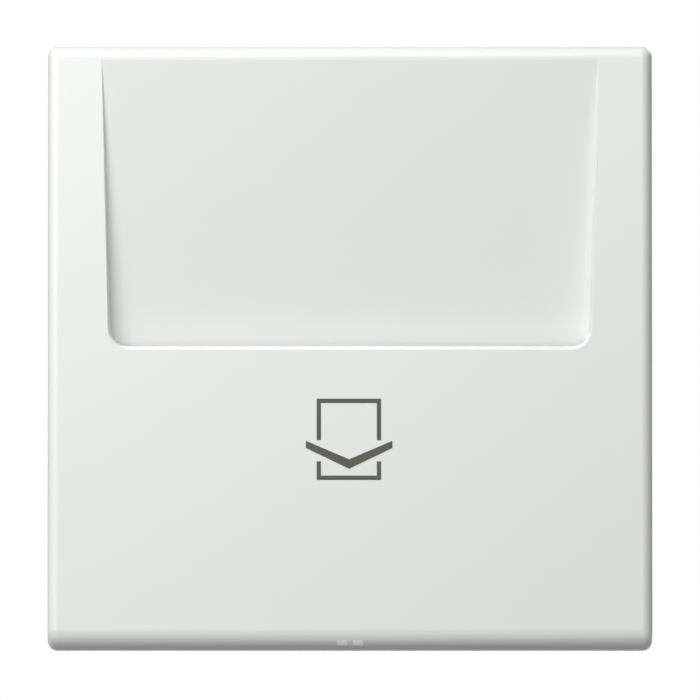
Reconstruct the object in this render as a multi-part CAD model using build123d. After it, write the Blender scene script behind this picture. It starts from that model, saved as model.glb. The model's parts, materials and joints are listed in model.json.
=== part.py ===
from build123d import *
import math
import os

# A flush hotel key card switch. X runs to the right, Y into the wall and Z up. The wall plane is
# y = 0, the rear face of the steel support plate, and the origin is midway between its two box
# screws. A value named _front is a distance in front of the wall plane, one named _behind a
# distance behind it, and every length is in millimetres.

# Clearances shared by all the pieces
overrun = 1.0
bite = 0.3
seat_gap = 0.1
slide_gap = 0.3
running_gap = 0.03
fixed_gap = 0.02
pick_tolerance = 0.001

# Cover: a wedge that grows deeper towards the bottom
cover_size = 70.0
cover_depth_top = 13.4
cover_depth_bottom = 17.4
cover_rear_front = 2.2
face_wall = 1.7
skirt_wall = 1.5
top_round = 1.25
side_round = 1.15
bottom_round = 2.3
inner_round = 0.6
pad_proud = 0.1
pad_height = 4.9
pad_above_bottom = 4.15
pad_length = 7.0

# Card rest: a shallow tray in the face that ends at the mouth of the slot
rest_top_width = 57.3
rest_mouth_width = 55.7
rest_top_inset = 1.5
mouth_z = 0.3
rest_depth = 3.2
rest_corner = 2.1
rest_draft = 0.35
rest_edge_round = 0.16
lip_round = 0.42
rest_floor_wall = 1.6
rest_side_wall = 1.5

# Card slot, for a bank-card sized key card
card_width = 53.98
card_thickness = 0.76
card_side_play = 0.4
slot_gap = 1.5
slot_bottom_z = -31.0
rib_thickness = 1.2
rib_places = (12.0, 24.0)
rib_start = 3.0

# Card guide
guide_relief = 0.15
guide_wall = 1.4
guide_joint = 0.12
guide_step = 2.8
guide_flange_top = 15.0
guide_rail = 1.4
stop_wall = 1.4
ear_wall = 2.0
ear_radius = 2.0

# Screws from the guide into the cover
guide_screw_x = 30.9
guide_screw_heights = (11.0, -24.0)
guide_screw_radius = 1.0
guide_screw_grip = 1.8
guide_screw_head_radius = 1.9
guide_screw_head_height = 1.4
guide_ear_front = 9.2
guide_ear_thickness = 1.6
guide_ear_half_height = 2.6
guide_ear_side = 2.0
boss_radius = 2.1
boss_web = 1.2

# Hooks of the guide on the switch insert
hook_wall = 1.4
hook_height = 6.0
hook_inner_z = 6.0
hook_side_gap = 0.3
hook_barb = 0.5
hook_barb_height = 0.8
hook_groove_depth = 0.7
hook_groove_front = 1.5
hook_play = 0.1

# Feeler lever
lever_pivot_z = 8.0
lever_pivot_front = 8.3
lever_hub_radius = 1.9
lever_hub_half = 10.2
lever_pin_radius = 0.9
lever_side_gap = 0.2
lever_hub_window_gap = 0.4
arm_rear_front = 7.0
arm_thickness = 1.6
arm_half = 7.0
arm_bottom_z = -27.5
arm_rib_width = 1.2
arm_rib_height = 1.0
arm_rib_top_z = -5.0
arm_rib_bottom_z = -18.0
nose_z = -24.0
nose_past_ribs = 0.6
nose_half = 3.5
nose_rise = 4.5
nose_flat = 1.0
nose_fall = 2.2
nose_round = 0.5
nose_window_play = 0.9
cam_above_key_end = 2.0
cam_radius = 1.5
cam_half = 5.0

# Support plate
plate_inset = 1.0
plate_thickness = 1.0
plate_corner = 4.0
plate_opening_half = 6.0
plate_opening_above = 5.5
plate_opening_below = 1.225
plate_opening_corner = 1.5
plate_corner_hole_radius = 2.0
plate_corner_hole_inset = 7.0
box_screw_spacing = 60.0
box_slot_length = 6.0
box_slot_width = 3.6

# Switch insert, front
lid_side_margin = 0.4
lid_end_margin = 1.3
lid_height = 2.4
lid_floor = 0.8
lid_corner = 1.6
lid_frame_side = 4.8
lid_frame_top = 4.1
lid_frame_bottom = 2.1
collar_wall = 1.45
collar_behind = 3.0
cup_wall = 0.8
cup_bottom_behind = 4.0
cup_floor = 1.0
insert_screw_side_inset = 2.0
insert_screw_end_inset = 8.5
insert_screw_radius = 1.1
insert_screw_length = 9.0
insert_screw_head_radius = 1.9
insert_screw_head_height = 1.3
insert_screw_sink = 1.5
screw_slot_width = 0.6
screw_slot_share = 0.5

# Switch insert, housing behind the plate
base_half_width = 19.0
base_half_height = 23.0
base_depth = 27.0
base_chamfer = 6.0
base_wall = 1.6
base_floor = 1.8
base_rear_bevel = 1.2
recess_depth = 3.2
recess_half_height = 7.6
screw_boss_radius = 2.2
screw_boss_depth = 10.5
post_radius = 3.0
post_pilot_radius = 1.5
post_pilot_length = 3.0
spring_seat_behind = 16.0

# Push key
key_side_gap = 0.4
key_end_gap = 1.2
key_thickness = 2.0
key_rear_front = 3.9
key_corner = 1.2
key_rim = 1.2
key_dish = 0.5
key_dish_below_pivot = 4.5
key_dish_above_cam = 5.0
key_barrel_radius = 2.0
key_pin_radius = 0.8
key_lug_wall = 2.2
key_lug_gap = 0.2
key_lug_radius = 2.2

# Coil springs
spring_wire = 0.45
key_spring_above_end = 3.5
key_spring_radius = 1.9
key_spring_turns = 6
key_spring_pin_radius = 1.3
key_spring_pin_length = 1.4
contact_spring_radius = 2.1
contact_spring_turns = 6
spring_play = 0.25

# Plunger and bridge
plunger_z = -4.0
plunger_radius = 2.5
plunger_rim_round = 1.2
plunger_neck_behind = 4.6
carriage_half_width = 3.4
carriage_half_height = 3.6
carriage_behind = 8.2
bridge_behind = 5.6
bridge_thickness = 0.8
bridge_half_width = 2.0
bridge_half_length = 10.0
tip_place = 8.0
tip_radius = 1.6
tip_thickness = 0.7
fixed_tip_radius = 1.8
contact_overtravel = 0.1

# Terminals: a busbar, two leaf springs and a release button above, and the same below
bus_thickness = 0.8
bus_end_inset = 7.0
bus_rear_gap = 2.2
web_half_width = 3.0
web_overlap = 2.5
wire_place = 8.0
wire_radius = 1.4
wire_bus_gap = 0.05
funnel_radius = 2.1
funnel_depth = 0.6
entry_ring_radius = 2.9
entry_ring_height = 0.5
leaf_thickness = 0.4
leaf_half_width = 2.5
leaf_leg_to_bus = 8.8
leaf_leg_length = 7.2
leaf_rear_gap = 5.0
leaf_bend_radius = 1.3
leaf_angle = 46.0
leaf_bus_gap = 0.3
shelf_thickness = 1.4
shelf_overhang = 1.0
shelf_inner = 5.2
button_half_width = 3.0
button_above_leg = 0.8
button_height = 4.0
button_proud = 2.0
button_travel = 1.6
button_play = 0.12
wing_half_width = 6.6
wing_above_leg = 2.8
wing_height = 1.7
wing_thickness = 2.5
wing_rear_gap = 0.3
finger_width = 1.0
finger_inset = 0.3

# Orientation light
lamp_above_lens = 3.45
lamp_radius = 1.5
lamp_flange_radius = 1.9
lamp_flange = 1.0
lamp_length = 4.4
board_half_width = 8.0
board_below_lamp = 2.4
board_above_blades = 0.9
board_thickness = 1.0
holder_margin = 0.3
holder_thickness = 1.0
blade_place = 5.0
blade_half_width = 1.2
blade_thickness = 0.8
blade_below_base = 2.8
blade_solder = 0.4
blade_behind = 5.5
socket_half_width = 8.0
socket_height = 5.0
socket_depth = 8.0
guide_lens_half_width = 1.5
guide_lens_height = 0.6
guide_lens_gap = 0.7
guide_lens_edge = 0.65
guide_bar_height = 1.35
guide_leg_thickness = 1.4
guide_leg_above_lamp = 1.4
guide_lamp_gap = 0.4

# Claws that spread in the wall box
claw_pivot_inset = 1.0
claw_pivot_behind = 5.0
claw_thickness = 1.2
claw_arm_half = 4.5
claw_arm_end_behind = 21.0
claw_fork_half = 4.2
claw_fork_length = 7.0
claw_slot_half = 1.75
claw_slot_start = 1.9
claw_arm_slot_start = 2.2
claw_arm_slot_end = 11.5
claw_eye_radius = 1.7
claw_eye_half = 5.2
claw_tooth_length = 3.0
claw_tooth_back = 2.5
claw_tooth_inner = 2.2
claw_pin_radius = 0.8
claw_pin_overhang = 0.5
claw_ear_gap = 0.2
claw_ear_wall = 1.0
claw_ear_half = 1.8
claw_swing = 30.0
claw_screw_offset = 4.7
claw_screw_radius = 1.5
claw_screw_pitch = 0.5
claw_screw_tip_behind = 13.0
claw_screw_head_radius = 2.75
claw_screw_head_height = 2.0
claw_screw_slot_width = 0.9
claw_screw_seat = 0.05
claw_nut_radius = 2.6
claw_nut_half = 3.6

# Sizes that follow from the ones above
cover_half = cover_size / 2
cover_inner = cover_half - skirt_wall
pad_z = pad_above_bottom - cover_half
rest_top_z = cover_half - rest_top_inset
plate_size = cover_size - 2 * plate_inset
plate_corner_hole_place = plate_size / 2 - plate_corner_hole_inset
guide_lens_z = guide_lens_edge + guide_lens_height / 2 - cover_half
lamp_z = guide_lens_z + lamp_above_lens
guide_leg_top_z = lamp_z + guide_leg_above_lamp
blade_z = -base_half_height - blade_below_base
socket_bottom_z = -base_half_height - socket_height
board_low_z = lamp_z - board_below_lamp
board_high_z = blade_z + board_above_blades
lid_half_width = base_half_width + lid_side_margin
lid_half_height = base_half_height + lid_end_margin
insert_screw_x = base_half_width - insert_screw_side_inset
recess_half_width = base_half_width - recess_depth
bus_half_width = base_half_width - bus_end_inset
claw_pivot_x = base_half_width - claw_pivot_inset
insert_screw_z = base_half_height - insert_screw_end_inset
face_slope = (cover_depth_bottom - cover_depth_top) / cover_size
slot_half = card_width / 2 + card_side_play
guide_half = slot_half + guide_rail
guide_bottom_z = slot_bottom_z - stop_wall
nose_reach = slot_gap + nose_past_ribs
arm_front = arm_rear_front + arm_thickness
key_front = key_rear_front + key_thickness
key_pivot_front = key_rear_front + key_thickness / 2
plate_front = plate_thickness
lid_front = plate_front + lid_height
lid_floor_front = plate_front + lid_floor
window_half_width = lid_half_width - lid_frame_side
key_half_width = window_half_width - key_side_gap
window_top_z = lid_half_height - lid_frame_top
window_bottom_z = lid_frame_bottom - lid_half_height
key_top_z = window_top_z - key_end_gap
key_bottom_z = window_bottom_z + key_end_gap
key_pivot_z = key_top_z - key_barrel_radius
key_spring_z = key_bottom_z + key_spring_above_end
cam_z = key_bottom_z + cam_above_key_end
cup_radius = key_spring_radius + spring_wire / 2 + spring_play
plate_opening_top_z = plunger_z + plate_opening_above
plate_opening_bottom_z = key_spring_z - cup_radius - cup_wall - plate_opening_below
floor_behind = base_depth - base_floor
base_inner_height = base_half_height - base_wall
bus_inner_z = base_inner_height - bus_thickness
bus_rear_behind = floor_behind - bus_rear_gap
leaf_leg_z = bus_inner_z - leaf_leg_to_bus
leaf_bend_behind = floor_behind - leaf_rear_gap
leaf_leg_behind = leaf_bend_behind - leaf_leg_length
shelf_front_behind = leaf_leg_behind - shelf_overhang
button_low_z = leaf_leg_z + button_above_leg
button_high_z = button_low_z + button_height
wing_low_z = leaf_leg_z + wing_above_leg
wing_high_z = wing_low_z + wing_height
wire_z = bus_inner_z - wire_bus_gap - wire_radius
claw_screw_x = claw_pivot_x + claw_screw_offset
claw_nut_behind = claw_pivot_behind + claw_thickness / 2 + claw_nut_radius + seat_gap


def face_front(z):
    """How far the cover's face stands in front of the wall plane at height z."""
    return cover_depth_top + (cover_half - z) * face_slope


mouth_floor_front = face_front(mouth_z) - rest_depth
floor_slope = (face_front(rest_top_z) - mouth_floor_front) / (rest_top_z - mouth_z)


def floor_front(z):
    """How far the card rest's floor, and the slot wall below it, stand in front of the wall plane."""
    return mouth_floor_front + (z - mouth_z) * floor_slope


# Motion: a card swings the lever until its nose is level with the slot wall. The lever's cam
# pushes the key, and the key pushes the plunger.
lever_swing = math.atan2(nose_reach, lever_pivot_z - nose_z)
cam_front = key_front + seat_gap + cam_radius


def turned(distance, height, angle):
    """A point given from a pivot, turned so that what lies below the pivot goes into the wall."""
    front = distance * math.cos(angle) + height * math.sin(angle)
    up = height * math.cos(angle) - distance * math.sin(angle)
    return front, up


cam_turned = turned(cam_front - lever_pivot_front, cam_z - lever_pivot_z, lever_swing)
cam_to_key_pivot = (
    cam_turned[0] + lever_pivot_front - key_pivot_front,
    cam_turned[1] + lever_pivot_z - key_pivot_z,
)
cam_reach = math.hypot(*cam_to_key_pivot)
cam_rest_distance = cam_front - key_pivot_front
key_swing = math.asin(cam_rest_distance / cam_reach) + math.atan2(
    -cam_to_key_pivot[0], -cam_to_key_pivot[1]
)
plunger_travel = (key_pivot_z - plunger_z) * math.tan(key_swing)
contact_gap = plunger_travel + contact_overtravel

swung = math.radians(claw_swing)
nut_rise = claw_nut_behind - claw_pivot_behind - seat_gap
claw_nut_travel = nut_rise + claw_screw_offset * math.tan(swung) - nut_rise / math.cos(swung)
claw_screw_turns = claw_nut_travel / claw_screw_pitch


# Building blocks
def block(x, y, z):
    """A box between a low and a high value on each axis."""
    sizes = [high - low for low, high in (x, y, z)]
    middles = [(high + low) / 2 for low, high in (x, y, z)]
    return Pos(*middles) * Box(*sizes)


def rod(radius, start, end):
    """A round bar from one point to another."""
    line = Vector(*end) - Vector(*start)
    place = Plane(origin=start, z_dir=line)
    return place * Cylinder(radius, line.length, align=(Align.CENTER, Align.CENTER, Align.MIN))


def outline(points, rounds=()):
    """A closed outline of straight lines, with the named corners rounded."""
    shape = Polygon(*points)
    for point, radius in rounds:
        shape = fillet(shape.vertices().sort_by_distance((*point, 0))[0], radius)
    return shape


def prism_x(shape, low, high):
    """An outline of (y, z) points, carried along X."""
    return extrude(Plane.YZ.offset(low) * shape, amount=high - low, dir=(1, 0, 0))


def prism_y(shape, low, high):
    """An outline of (x, z) points, carried along Y."""
    start = Plane(origin=(0, low, 0), x_dir=(1, 0, 0), z_dir=(0, -1, 0))
    return extrude(start * shape, amount=high - low, dir=(0, 1, 0))


def prism_z(shape, low, high):
    """An outline of (x, y) points, carried along Z."""
    return extrude(Plane.XY.offset(low) * shape, amount=high - low, dir=(0, 0, 1))


def rounded_rectangle(x, z, radius):
    """A rectangle between two values on each axis, with round corners."""
    corners = [(x[0], z[0]), (x[1], z[0]), (x[1], z[1]), (x[0], z[1])]
    return outline(corners, [(corner, radius) for corner in corners])


def mirrored(shape):
    """The same shape on the other side, left for right."""
    return mirror(shape, about=Plane.YZ)


def upside_down(shape):
    """The same shape below, for above."""
    return mirror(shape, about=Plane.XY)


def both_sides(shape):
    """A shape and its left-for-right twin."""
    return [shape, mirrored(shape)]


def all_quarters(shape):
    """A shape of the upper right quarter in all four quarters."""
    return both_sides(shape) + both_sides(upside_down(shape))


def group(*shapes):
    """Separate solids that share one node."""
    return Compound(children=[solid for shape in shapes for solid in shape.solids()])


def slotted_head(x, z, seat_front, radius, height, slot_width):
    """A round screw head in front of its seat, with a slot across it."""
    head = rod(radius, (x, -seat_front, z), (x, -seat_front - height, z))
    slot = block(
        (x - radius - overrun, x + radius + overrun),
        (-seat_front - height - overrun, -seat_front - height * (1 - screw_slot_share)),
        (z - slot_width / 2, z + slot_width / 2),
    )
    return head - slot


# Front cover
def cover_outside():
    """The cover's outer form: a wedge with its front edges rounded."""
    top_front = (-face_front(cover_half), cover_half)
    bottom_front = (-face_front(-cover_half), -cover_half)
    points = [
        (-cover_rear_front, cover_half),
        top_front,
        bottom_front,
        (-cover_rear_front, -cover_half),
    ]
    side = outline(points, [(top_front, top_round), (bottom_front, bottom_round)])
    wedge = prism_x(side, -cover_half, cover_half)
    edges = [
        edge
        for edge in wedge.edges()
        if abs(abs(edge.center().X) - cover_half) < pick_tolerance
        and edge.center().Y < -cover_rear_front - pick_tolerance
    ]
    return fillet(edges, side_round)


def cover_hollow():
    """The space inside the cover, open towards the wall."""
    top_front = (-(face_front(cover_inner) - face_wall), cover_inner)
    bottom_front = (-(face_front(-cover_inner) - face_wall), -cover_inner)
    rear = overrun - cover_rear_front
    points = [(rear, cover_inner), top_front, bottom_front, (rear, -cover_inner)]
    side = outline(points, [(top_front, inner_round), (bottom_front, inner_round)])
    return prism_x(side, -cover_inner, cover_inner)


def between_planes(low_front, high_front, low_z, high_z, half):
    """A slab between two sloping planes, given as functions of height."""
    points = [
        (-low_front(low_z), low_z),
        (-low_front(high_z), high_z),
        (-high_front(high_z), high_z),
        (-high_front(low_z), low_z),
    ]
    return prism_x(outline(points), -half, half)


def rest_half_width(z):
    """Half the card rest's width at height z."""
    share = (z - mouth_z) / (rest_top_z - mouth_z)
    return (rest_mouth_width + (rest_top_width - rest_mouth_width) * share) / 2


def rest_tub():
    """The wall behind the card rest."""
    bottom = rest_half_width(mouth_z) + rest_side_wall
    top = rest_half_width(cover_inner) + rest_side_wall
    front_view = outline(
        [(-bottom, mouth_z), (bottom, mouth_z), (top, cover_inner), (-top, cover_inner)]
    )
    column = prism_y(front_view, -cover_depth_bottom, 0)
    slab = between_planes(
        lambda z: floor_front(z) - rest_floor_wall,
        lambda z: face_front(z) - face_wall / 2,
        mouth_z,
        cover_inner,
        cover_half,
    )
    return column & slab


def rest_section(depth, side_growth, mouth_growth):
    """The card rest's outline on a plane that lies this deep under the cover's face."""
    steepness = math.hypot(1, face_slope)
    normal = Vector(0, -1, face_slope) / steepness
    centre = Vector(0, -face_front(mouth_z), mouth_z) - normal * depth
    plane = Plane(origin=centre, x_dir=(1, 0, 0), z_dir=normal)
    low = -mouth_growth
    high = (cover_half + overrun - mouth_z) * steepness
    low_half = rest_half_width(mouth_z + low / steepness) + side_growth
    high_half = rest_half_width(mouth_z + high / steepness) + side_growth
    points = [(-low_half, low), (low_half, low), (high_half, high), (-high_half, high)]
    corner = rest_corner + mouth_growth
    return plane * outline(points, [(points[0], corner), (points[1], corner)])


def rest_cut():
    """What the card rest takes out of the cover, with a rounded lip and drafted walls."""
    eased_share = 1 - math.sqrt(1 / 2)
    steps = [
        (-overrun, rest_edge_round, lip_round),
        (0, rest_edge_round, lip_round),
        (lip_round * eased_share, rest_edge_round * eased_share, lip_round * eased_share),
        (lip_round, 0, 0),
        (rest_depth + overrun, -rest_draft, -rest_draft),
    ]
    sections = [rest_section(*step) for step in steps]
    pieces = [
        loft([upper, lower], ruled=True) for upper, lower in zip(sections, sections[1:])
    ]
    above_floor = between_planes(
        floor_front,
        lambda z: face_front(z) + overrun,
        mouth_z - overrun,
        cover_half + overrun,
        cover_half,
    )
    return (Part() + pieces) & above_floor


def slot_cut():
    """The card's way past the rest's round lower corners, behind the lip."""
    return between_planes(
        floor_front,
        lambda z: face_front(z) - face_wall,
        mouth_z - overrun,
        mouth_z + rest_corner + overrun,
        slot_half,
    )


def lip_ribs():
    """Ribs behind the lip that keep the card against the guide."""
    rib = between_planes(
        lambda z: floor_front(z) + slot_gap,
        lambda z: face_front(z) - face_wall + bite,
        slot_bottom_z,
        mouth_z - rib_start,
        rib_thickness / 2,
    )
    return [Pos(side * place, 0, 0) * rib for place in rib_places for side in (-1, 1)]


def screw_boss(z):
    """A boss for one guide screw, with a web to the skirt, and the hole to drill in it."""
    rear = guide_ear_front + guide_ear_thickness
    root = face_front(z) - face_wall / 2
    post = rod(boss_radius, (guide_screw_x, -rear, z), (guide_screw_x, -root, z))
    web = block(
        (guide_screw_x, cover_inner + bite),
        (-root, -rear),
        (z - boss_web / 2, z + boss_web / 2),
    )
    hole = rod(
        guide_screw_radius + fixed_gap,
        (guide_screw_x, overrun - rear, z),
        (guide_screw_x, -rear - guide_screw_grip - seat_gap, z),
    )
    return post + web, hole


def side_pad():
    """A low pad that centres the cover in its frame."""
    return block(
        (cover_half - bite, cover_half + pad_proud),
        (-cover_rear_front - pad_length, -cover_rear_front),
        (pad_z - pad_height / 2, pad_z + pad_height / 2),
    )


def lens_prong(play):
    """One of the light guide's two ends, or with some play the window for it."""
    middle = (guide_lens_half_width + guide_lens_gap / 2) / 2
    half = (guide_lens_half_width - guide_lens_gap / 2) / 2 + play
    return block(
        (middle - half, middle + half),
        (-cover_depth_bottom, -(face_front(-cover_inner) - face_wall - overrun)),
        (guide_lens_z - guide_lens_height / 2 - play, guide_lens_z + guide_lens_height / 2 + play),
    )


def guide_groove():
    """The groove in the lower skirt wall that the light guide lies in."""
    half = guide_lens_half_width + fixed_gap
    return block(
        (-half, half),
        (-(face_front(-cover_inner) - face_wall), overrun - cover_rear_front),
        (guide_lens_z - guide_lens_height / 2 - fixed_gap, overrun - cover_inner),
    )


def make_front_cover():
    cover = cover_outside() - cover_hollow() + rest_tub() + lip_ribs()
    for z in guide_screw_heights:
        boss, hole = screw_boss(z)
        cover = cover + both_sides(boss) - both_sides(hole)
    cover = cover - rest_cut() - slot_cut() - guide_groove()
    cover = cover - both_sides(lens_prong(fixed_gap))
    return cover + both_sides(side_pad())


# Light guide
def make_light_guide():
    low_z = guide_lens_z - guide_lens_height / 2
    rear_front = plate_front + holder_thickness + board_thickness + lamp_length + guide_lamp_gap
    bar_front = face_front(-cover_inner) - face_wall - seat_gap
    half = guide_lens_half_width
    bar = block((-half, half), (-bar_front, -rear_front), (low_z, low_z + guide_bar_height))
    leg = block((-half, half), (-rear_front - guide_leg_thickness, -rear_front), (low_z, guide_leg_top_z))
    return (bar + leg + both_sides(lens_prong(0))) & cover_outside()


# Card guide
def lip_back(z):
    """The rear face of the cover's lip, less the gap that the guide keeps from it."""
    return face_front(z) - face_wall - seat_gap


def flange_front(z):
    """The front face of the guide's flange, which lies against the back of the card rest."""
    return floor_front(z) - rest_floor_wall - seat_gap


def guide_body():
    """Slot wall, side rails, stop and the flange behind the card rest."""
    top_z = mouth_z - guide_joint
    wall = between_planes(
        lambda z: floor_front(z) - guide_wall,
        lambda z: floor_front(z) - guide_relief,
        guide_bottom_z,
        top_z,
        guide_half,
    )
    frame = between_planes(
        lambda z: floor_front(z) - guide_wall, lip_back, guide_bottom_z, top_z, guide_half
    )
    inside = between_planes(
        lambda z: floor_front(z) - guide_wall - overrun,
        lambda z: lip_back(z) + overrun,
        slot_bottom_z,
        top_z + overrun,
        slot_half,
    )
    step = between_planes(
        lambda z: flange_front(z) - guide_wall,
        lambda z: floor_front(z) - guide_relief,
        mouth_z - guide_step,
        top_z,
        guide_half,
    )
    flange = between_planes(
        lambda z: flange_front(z) - guide_wall,
        flange_front,
        mouth_z - guide_step,
        guide_flange_top,
        guide_half,
    )
    return wall + (frame - inside) + step + flange


def guide_windows():
    """Openings for the lever's nose and its hub."""
    nose = block(
        (-nose_half - nose_window_play, nose_half + nose_window_play),
        (-cover_depth_bottom, 0),
        (nose_z - nose_flat / 2 - nose_fall - nose_window_play, nose_z + nose_rise + nose_window_play),
    )
    deepest = block(
        (-guide_half, guide_half),
        (-(floor_front(nose_z) + slot_gap / 2), 0),
        (guide_bottom_z, mouth_z),
    )
    hub_half = lever_hub_half + lever_side_gap
    hub_room = lever_hub_radius + lever_hub_window_gap
    hub = block(
        (-hub_half, hub_half),
        (-cover_depth_bottom, 0),
        (lever_pivot_z - hub_room, lever_pivot_z + hub_room),
    )
    return [nose & deepest, hub]


def lever_ear():
    """One of the guide's two ears that hold the lever's pin."""
    low = lever_hub_half + lever_side_gap
    high = low + ear_wall
    centre = (-lever_pivot_front, lever_pivot_z)
    eye = rod(ear_radius, (low, *centre), (high, *centre))
    root = block(
        (low, high),
        (-(flange_front(lever_pivot_z) - guide_wall / 2), -lever_pivot_front),
        (lever_pivot_z - ear_radius, lever_pivot_z + ear_radius),
    )
    return eye + root


def screw_ear(z):
    """A side ear of the guide for one screw, and its hole."""
    front = guide_ear_front + guide_ear_thickness
    ear = block(
        (guide_half - bite, guide_screw_x + guide_ear_side),
        (-front, -guide_ear_front),
        (z - guide_ear_half_height, z + guide_ear_half_height),
    )
    gusset = block(
        (guide_half - guide_rail, guide_half),
        (-front, -guide_ear_front),
        (z - guide_ear_half_height, z + guide_ear_half_height),
    )
    hole = rod(
        guide_screw_radius + fixed_gap,
        (guide_screw_x, -front - overrun, z),
        (guide_screw_x, -guide_ear_front + overrun, z),
    )
    return ear + gusset, hole


def hook(z, root_front):
    """A springy arm that runs back from the guide and hooks into the insert's side."""
    inner = lid_half_width + hook_side_gap
    low, high = z - hook_height / 2, z + hook_height / 2
    root = root_front(low) - guide_wall / 2
    tip = hook_groove_front + hook_play
    arm = block((inner, inner + hook_wall), (-root, -tip), (low, high))
    barb_outline = [
        (inner - hook_barb, -tip - hook_barb_height),
        (inner + hook_wall / 2, -tip - hook_barb_height),
        (inner + hook_wall / 2, -tip),
        (inner, -tip),
    ]
    return arm + prism_z(outline(barb_outline), low, high)


def make_card_guide():
    guide = guide_body() - guide_windows() + both_sides(lever_ear())
    pin_end = lever_hub_half + lever_side_gap + ear_wall
    centre = (-lever_pivot_front, lever_pivot_z)
    hole = rod(
        lever_pin_radius + fixed_gap, (-pin_end - overrun, *centre), (pin_end + overrun, *centre)
    )
    for z in guide_screw_heights:
        ear, screw_hole = screw_ear(z)
        guide = guide + both_sides(ear) - both_sides(screw_hole)
    hook_z = hook_inner_z + hook_height / 2
    hooks = both_sides(hook(hook_z, flange_front)) + both_sides(hook(-hook_z, floor_front))
    return guide + hooks - hole


def make_guide_screws():
    screws = []
    for z in guide_screw_heights:
        end = guide_ear_front + guide_ear_thickness + guide_screw_grip
        shank = rod(
            guide_screw_radius, (guide_screw_x, -guide_ear_front, z), (guide_screw_x, -end, z)
        )
        head_rear = guide_ear_front - guide_screw_head_height
        head = rod(
            guide_screw_head_radius,
            (guide_screw_x, -guide_ear_front, z),
            (guide_screw_x, -head_rear, z),
        )
        reach = guide_screw_head_radius + overrun
        slot = block(
            (guide_screw_x - reach, guide_screw_x + reach),
            (-head_rear - guide_screw_head_height * screw_slot_share, overrun - head_rear),
            (z - screw_slot_width / 2, z + screw_slot_width / 2),
        )
        screws += both_sides(shank + head - slot)
    return group(*screws)


# Feeler lever
def make_card_lever():
    centre = (-lever_pivot_front, lever_pivot_z)
    hub = rod(lever_hub_radius, (-lever_hub_half, *centre), (lever_hub_half, *centre))
    arm = block(
        (-arm_half, arm_half), (-arm_front, -arm_rear_front), (arm_bottom_z, lever_pivot_z)
    )
    tip_front = floor_front(nose_z) + nose_reach
    tip_top = (-tip_front, nose_z + nose_flat / 2)
    tip_bottom = (-tip_front, nose_z - nose_flat / 2)
    nose_outline = [
        (bite - arm_front, nose_z + nose_rise),
        (-floor_front(nose_z + nose_rise), nose_z + nose_rise),
        tip_top,
        tip_bottom,
        (-floor_front(nose_z), nose_z - nose_flat / 2 - nose_fall),
        (bite - arm_front, nose_z - nose_flat / 2 - nose_fall),
    ]
    nose_side = outline(nose_outline, [(tip_top, nose_round), (tip_bottom, nose_round)])
    nose = prism_x(nose_side, -nose_half, nose_half)
    cam = rod(cam_radius, (-cam_half, -cam_front, cam_z), (cam_half, -cam_front, cam_z))
    rib = block(
        (arm_half - arm_rib_width, arm_half),
        (-arm_front - arm_rib_height, bite - arm_front),
        (arm_rib_bottom_z, arm_rib_top_z),
    )
    hole = rod(
        lever_pin_radius + running_gap,
        (-lever_hub_half - overrun, *centre),
        (lever_hub_half + overrun, *centre),
    )
    return hub + arm + nose + cam + both_sides(rib) - hole


def make_lever_pin():
    end = lever_hub_half + lever_side_gap + ear_wall
    centre = (-lever_pivot_front, lever_pivot_z)
    return rod(lever_pin_radius, (-end, *centre), (end, *centre))


# Support plate
def box_slot():
    """One of the two slots for the screws of the wall box."""
    radius = box_slot_width / 2
    middle = box_screw_spacing / 2
    ends = (middle - box_slot_length / 2 + radius, middle + box_slot_length / 2 - radius)
    slot = block(ends, (-plate_front - overrun, overrun), (-radius, radius))
    for x in ends:
        slot = slot + rod(radius, (x, -plate_front - overrun, 0), (x, overrun, 0))
    return slot


def claw_ear():
    """A tab bent back from the plate, which holds one end of a claw's pin."""
    low = claw_eye_half + claw_ear_gap
    high = low + claw_ear_wall
    tab = block(
        (claw_pivot_x - claw_ear_half, claw_pivot_x + claw_ear_half),
        (-plate_front / 2, claw_pivot_behind),
        (low, high),
    )
    end = rod(
        claw_ear_half,
        (claw_pivot_x, claw_pivot_behind, low),
        (claw_pivot_x, claw_pivot_behind, high),
    )
    return tab + end


def plate_holes():
    """Everything that is punched out of the plate on its right side and centre."""
    front, rear = -plate_front - overrun, overrun
    claw = rod(
        claw_screw_radius + running_gap + fixed_gap,
        (claw_screw_x, front, 0),
        (claw_screw_x, rear, 0),
    )
    cuts = [box_slot(), claw]
    for side in (-1, 1):
        z = side * insert_screw_z
        radius = insert_screw_radius + fixed_gap
        cuts.append(rod(radius, (insert_screw_x, front, z), (insert_screw_x, rear, z)))
        place = plate_corner_hole_place
        cuts.append(
            rod(plate_corner_hole_radius, (place, front, side * place), (place, rear, side * place))
        )
    return cuts


def blade_slot(low_y, high_y):
    """Room for one of the lamp's blades."""
    half = blade_half_width + fixed_gap
    thick = blade_thickness / 2 + fixed_gap
    return block(
        (blade_place - half, blade_place + half), (low_y, high_y), (blade_z - thick, blade_z + thick)
    )


def make_support_plate():
    half = plate_size / 2
    plate = prism_y(
        rounded_rectangle((-half, half), (-half, half), plate_corner), -plate_front, 0
    )
    opening = rounded_rectangle(
        (-plate_opening_half, plate_opening_half),
        (plate_opening_bottom_z, plate_opening_top_z),
        plate_opening_corner,
    )
    plate = plate - prism_y(opening, -plate_front - overrun, overrun)
    plate = plate - [twin for cut in plate_holes() for twin in both_sides(cut)]
    plate = plate - both_sides(blade_slot(-plate_front - overrun, overrun))
    ears = all_quarters(claw_ear())
    reach = claw_eye_half + claw_ear_gap + claw_ear_wall + overrun
    pin_hole = rod(
        claw_pin_radius + fixed_gap,
        (claw_pivot_x, claw_pivot_behind, -reach),
        (claw_pivot_x, claw_pivot_behind, reach),
    )
    return plate + ears - both_sides(pin_hole)


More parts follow.
